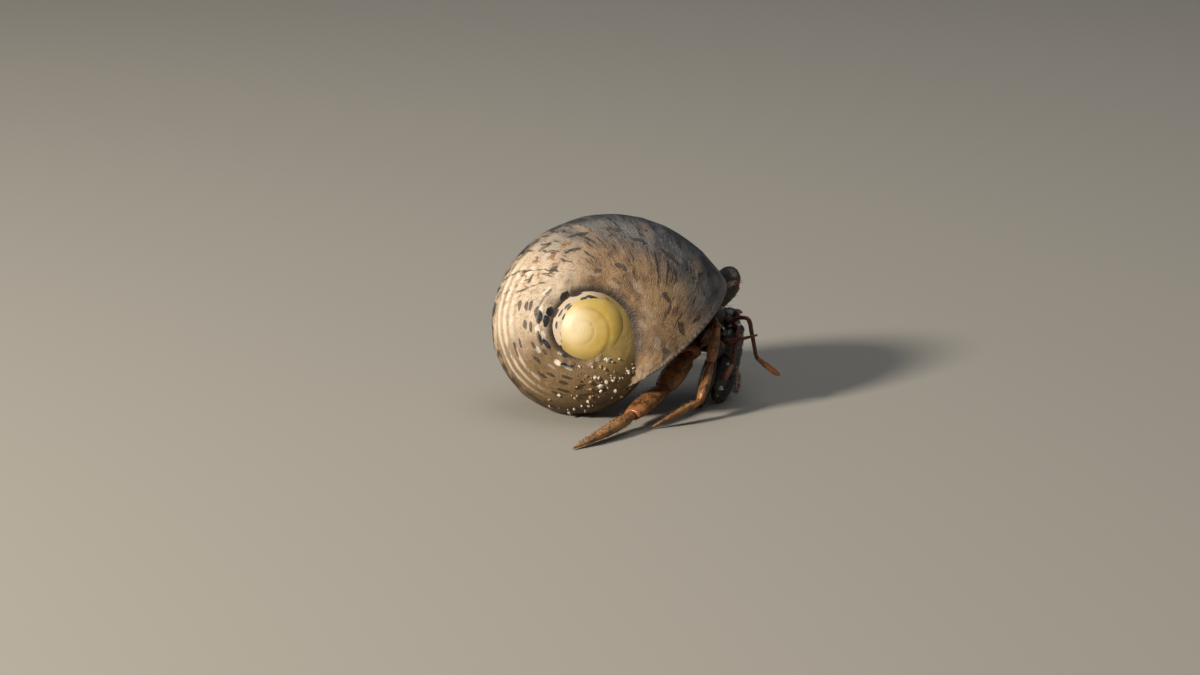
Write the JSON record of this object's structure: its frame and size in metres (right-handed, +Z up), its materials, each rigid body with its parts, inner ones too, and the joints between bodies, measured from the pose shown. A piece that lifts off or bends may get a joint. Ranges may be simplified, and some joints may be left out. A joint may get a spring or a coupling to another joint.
{
  "type": "hermit crab",
  "caption": "A small land hermit crab walking in a round, worn sea snail's shell, with its eyes on stalks, bent feelers, a large left claw and pointed, hairy walking legs on the floor.",
  "frame": {"origin": "on the floor under the middle of the whole model's bounding box, with the legs and claws in the pose shown", "axes": "+Z is up; the shell's apex and the crab's right side face -Y; the crab's head, eyes and feelers are towards +X; +Y runs to the tip of the left hind walking leg"},
  "size_m": [0.0343, 0.0374, 0.0222],
  "materials": {
    "seashell": "worn matte calcium carbonate, cream and tan with raised cords, blue-grey bands and dark brown streaks, yellow at the apex",
    "dark_cuticle": "satin dark purple-brown cuticle with fine bumps and short hairs",
    "leg_cuticle": "satin brown and tan cuticle with orange joints, bumps and bristles",
    "claw_tip": "satin orange-tan cuticle that darkens at the tips",
    "feeler_cuticle": "smooth red-brown cuticle with an orange end",
    "eye": "glossy near-black cornea",
    "bristle": "short stiff brown hairs in tufts on the legs and claws",
    "sand_grain": "white and cream grains of coral sand stuck to the shell and claw",
    "soft_belly": "soft pinkish tan skin with faint folds"
  },
  "bodies": {
    "root": {"shell": "seashell", "shield": "dark_cuticle", "eye_right": "eye", "eyestalk_right": "dark_cuticle", "eye_left": "eye", "eyestalk_left": "dark_cuticle", "maxilliped_right": "dark_cuticle", "maxilliped_left": "dark_cuticle", "claw_left_merus": "dark_cuticle", "claw_left_carpus": "dark_cuticle", "claw_left_finger": "claw_tip", "claw_left_palm": "dark_cuticle", "claw_right_merus": "dark_cuticle", "claw_right_carpus": "dark_cuticle", "claw_right_finger": "claw_tip", "claw_right_palm": "dark_cuticle", "leg1_right_merus": "leg_cuticle", "leg1_right_carpus": "leg_cuticle", "leg1_right_propodus": "leg_cuticle", "leg1_right_dactyl": "claw_tip", "leg2_right_merus": "leg_cuticle", "leg2_right_carpus": "leg_cuticle", "leg2_right_propodus": "leg_cuticle", "leg2_right_dactyl": "claw_tip", "leg1_left_merus": "leg_cuticle", "leg1_left_carpus": "leg_cuticle", "leg1_left_propodus": "leg_cuticle", "leg1_left_dactyl": "claw_tip", "leg2_left_merus": "leg_cuticle", "leg2_left_carpus": "leg_cuticle", "leg2_left_propodus": "leg_cuticle", "leg2_left_dactyl": "claw_tip", "antennule_right": "feeler_cuticle", "antennule_left": "feeler_cuticle", "antenna_right": "feeler_cuticle", "antenna_left": "feeler_cuticle", "leg3_right": "leg_cuticle", "leg3_left": "leg_cuticle", "leg4_right": "leg_cuticle", "leg4_left": "leg_cuticle", "belly": "soft_belly"}
  },
  "joints": []
}
